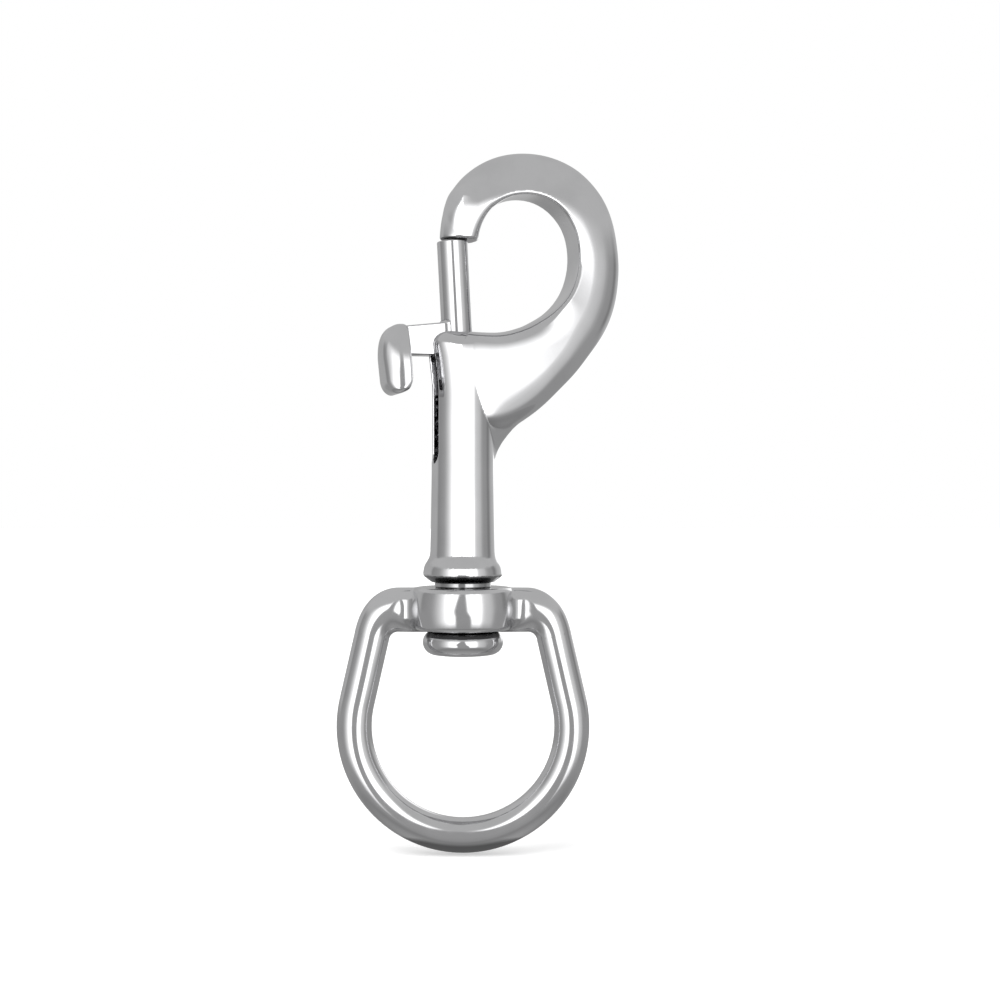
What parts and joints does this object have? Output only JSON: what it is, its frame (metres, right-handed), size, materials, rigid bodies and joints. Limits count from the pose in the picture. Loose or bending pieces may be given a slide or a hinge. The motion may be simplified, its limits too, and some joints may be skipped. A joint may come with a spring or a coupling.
{
  "type": "swivel eye bolt snap",
  "caption": "Single-ended bolt snap: a cast hook closed by a sprung bolt with a thumb lever, on a free-turning webbing eye.",
  "frame": {"origin": "centre of the webbing eye's round bow, on the swivel axis", "axes": "+Z along the swivel axis towards the hook; the eye lies in the XZ plane, +Y is its normal; at rest the hook's plane is turned 16 degrees about +Z from the eye's plane, and the hook bulges towards +X"},
  "size_m": [0.0406, 0.0161, 0.1001],
  "materials": {
    "polished_steel": "cast 316 stainless steel, polished",
    "turned_steel": "turned stainless steel, polished",
    "spring_steel": "drawn stainless spring wire"
  },
  "bodies": {
    "eye": {"swivel_eye": "polished_steel"},
    "snap": {"snap_body": "polished_steel", "swivel_stud": "turned_steel", "thrust_washer": "turned_steel", "bolt_spring": "spring_steel"},
    "gate": {"bolt": "turned_steel", "thumb_lever": "polished_steel"}
  },
  "joints": [
    {"name": "eye_swivel", "type": "hinge", "parent": "eye", "child": "snap", "pos_m": [0, 0, 0], "axis": [0, 0, 1], "continuous": true},
    {"name": "bolt_slide", "type": "slide", "parent": "snap", "child": "gate", "axis": [0.052, 0.0149, -0.9985], "range_m": [0, 0.0135], "stiffness_N_per_m": 300, "springref_m": -0.006, "deforming": ["bolt_spring"]}
  ]
}
